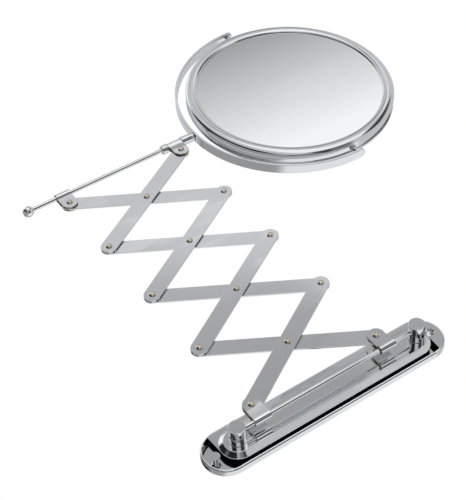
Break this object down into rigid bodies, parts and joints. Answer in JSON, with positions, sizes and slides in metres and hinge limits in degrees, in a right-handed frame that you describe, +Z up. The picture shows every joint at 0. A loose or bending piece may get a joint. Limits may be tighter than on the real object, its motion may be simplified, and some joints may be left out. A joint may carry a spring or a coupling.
{
  "type": "extendable wall shaving mirror",
  "caption": "Round two-sided tilting mirror in a half-ring yoke, carried from a slim round-ended wall plate by a folding scissor arm of flat bars.",
  "frame": {"origin": "centre of the wall plate's flat back face, on the wall surface", "axes": "+Z up, along the wall rod; +Y into the wall; +X to the right seen from in front. At rest the arm lies parallel to the wall and reaches towards -X"},
  "size_m": [0.4394, 0.0319, 0.3985],
  "materials": {
    "chrome": "polished chrome plate",
    "clip_sheet": "chromed folded sheet with raw brassy cut edges",
    "bar_chrome": "chrome plated strip, slightly soft reflection",
    "rivet_steel": "domed rivet, dull bright",
    "screw_steel": "plain steel",
    "silvered_glass": "silvered glass",
    "washer_nylon": "natural nylon",
    "pad_foam": "dark foam"
  },
  "bodies": {
    "wall_mount": {"wall_plate": "chrome", "lower_post": "chrome", "upper_post": "chrome", "lower_post_screw": "screw_steel", "upper_post_screw": "screw_steel", "wall_rod": "chrome"},
    "wall_clip_lower": {"wall_clip_lower": "clip_sheet", "wall_clip_rivet_lower": "rivet_steel"},
    "front_bar_4": {"front_bar_4": "bar_chrome", "centre_rivet_4": "rivet_steel", "upper_tip_rivet_3": "rivet_steel"},
    "rear_bar_4": {"rear_bar_4": "bar_chrome", "lower_tip_rivet_3": "rivet_steel"},
    "wall_clip_upper": {"wall_clip_upper": "clip_sheet", "wall_clip_rivet_upper": "rivet_steel"},
    "front_bar_3": {"front_bar_3": "bar_chrome", "centre_rivet_3": "rivet_steel", "upper_tip_rivet_2": "rivet_steel"},
    "rear_bar_3": {"rear_bar_3": "bar_chrome", "lower_tip_rivet_2": "rivet_steel"},
    "front_bar_2": {"front_bar_2": "bar_chrome", "centre_rivet_2": "rivet_steel", "upper_tip_rivet_1": "rivet_steel"},
    "rear_bar_2": {"rear_bar_2": "bar_chrome", "lower_tip_rivet_1": "rivet_steel"},
    "front_bar_1": {"front_bar_1": "bar_chrome", "centre_rivet_1": "rivet_steel"},
    "rear_bar_1": {"rear_bar_1": "bar_chrome"},
    "mirror_clip_fixed": {"mirror_clip_fixed": "clip_sheet", "mirror_clip_rivet_fixed": "rivet_steel"},
    "mirror_clip_sliding": {"mirror_clip_sliding": "clip_sheet", "mirror_clip_rivet_sliding": "rivet_steel"},
    "mirror_carrier": {"mirror_rod": "chrome", "end_ball": "chrome", "stop_collar": "chrome", "collar_grub_screw": "screw_steel", "yoke_shank": "chrome", "shank_grub_screw": "screw_steel", "yoke": "chrome", "yoke_screw": "screw_steel", "pivot_pin_left": "chrome", "pivot_pin_right": "chrome", "pivot_washer_left": "washer_nylon", "pivot_washer_right": "washer_nylon"},
    "mirror_head": {"head_band": "chrome", "front_bezel": "chrome", "back_bezel": "chrome", "plain_glass": "silvered_glass", "magnifying_glass": "silvered_glass", "glass_spacer": "washer_nylon", "backing_pad": "pad_foam"}
  },
  "joints": [
    {"name": "arm_swing", "type": "hinge", "parent": "wall_mount", "child": "wall_clip_lower", "pos_m": [0, -0.0182, -0.0588], "axis": [0, 0, 1], "range_deg": [0, 180]},
    {"name": "scissor_fold", "type": "hinge", "parent": "wall_clip_lower", "child": "front_bar_4", "pos_m": [-0.01275, -0.0182, -0.0588], "axis": [0, 1, 0], "range_deg": [-46.56, 16.44]},
    {"name": "centre_rivet_4_turn", "type": "hinge", "parent": "front_bar_4", "child": "rear_bar_4", "pos_m": [-0.04822, -0.0182, -0.00078], "axis": [0, 1, 0], "range_deg": [-56.88, 117.12]},
    {"name": "wall_clip_upper_turn", "type": "hinge", "parent": "rear_bar_4", "child": "wall_clip_upper", "pos_m": [-0.01275, -0.0182, 0.05723], "axis": [0, 1, 0], "range_deg": [-58.56, 28.44]},
    {"name": "lower_tip_rivet_3_turn", "type": "hinge", "parent": "rear_bar_4", "child": "front_bar_3", "pos_m": [-0.08369, -0.0182, -0.0588], "axis": [0, 1, 0], "range_deg": [-117.12, 56.88]},
    {"name": "centre_rivet_3_turn", "type": "hinge", "parent": "front_bar_3", "child": "rear_bar_3", "pos_m": [-0.11916, -0.0182, -0.00078], "axis": [0, 1, 0], "range_deg": [-56.88, 117.12]},
    {"name": "upper_tip_rivet_2_turn", "type": "hinge", "parent": "front_bar_3", "child": "rear_bar_2", "pos_m": [-0.15463, -0.0182, 0.05723], "axis": [0, 1, 0], "range_deg": [-56.88, 117.12]},
    {"name": "centre_rivet_2_turn", "type": "hinge", "parent": "rear_bar_2", "child": "front_bar_2", "pos_m": [-0.1901, -0.0182, -0.00078], "axis": [0, 1, 0], "range_deg": [-117.12, 56.88]},
    {"name": "lower_tip_rivet_1_turn", "type": "hinge", "parent": "rear_bar_2", "child": "front_bar_1", "pos_m": [-0.22556, -0.0182, -0.0588], "axis": [0, 1, 0], "range_deg": [-117.12, 56.88]},
    {"name": "centre_rivet_1_turn", "type": "hinge", "parent": "front_bar_1", "child": "rear_bar_1", "pos_m": [-0.26103, -0.0182, -0.00078], "axis": [0, 1, 0], "range_deg": [-56.88, 117.12]},
    {"name": "mirror_clip_fixed_turn", "type": "hinge", "parent": "front_bar_1", "child": "mirror_clip_fixed", "pos_m": [-0.2965, -0.0182, 0.05723], "axis": [0, 1, 0], "range_deg": [-28.44, 58.56]},
    {"name": "mirror_clip_sliding_turn", "type": "hinge", "parent": "rear_bar_1", "child": "mirror_clip_sliding", "pos_m": [-0.2965, -0.0182, -0.0588], "axis": [0, 1, 0], "range_deg": [-58.56, 28.44]},
    {"name": "mirror_swivel", "type": "hinge", "parent": "mirror_clip_fixed", "child": "mirror_carrier", "pos_m": [-0.30925, -0.0182, 0.05723], "axis": [0, 0, 1], "continuous": true},
    {"name": "mirror_tilt", "type": "hinge", "parent": "mirror_carrier", "child": "mirror_head", "pos_m": [-0.30925, -0.0182, 0.18843], "axis": [0.9987, 0.0513, 0], "continuous": true}
  ],
  "couplings": [
    {"joint": "centre_rivet_4_turn", "follows": "scissor_fold", "ratio": -2},
    {"joint": "wall_clip_upper_turn", "follows": "scissor_fold", "ratio": 1},
    {"joint": "lower_tip_rivet_3_turn", "follows": "scissor_fold", "ratio": 2},
    {"joint": "centre_rivet_3_turn", "follows": "scissor_fold", "ratio": -2},
    {"joint": "upper_tip_rivet_2_turn", "follows": "scissor_fold", "ratio": -2},
    {"joint": "centre_rivet_2_turn", "follows": "scissor_fold", "ratio": 2},
    {"joint": "lower_tip_rivet_1_turn", "follows": "scissor_fold", "ratio": 2},
    {"joint": "centre_rivet_1_turn", "follows": "scissor_fold", "ratio": -2},
    {"joint": "mirror_clip_fixed_turn", "follows": "scissor_fold", "ratio": -1},
    {"joint": "mirror_clip_sliding_turn", "follows": "scissor_fold", "ratio": 1}
  ]
}
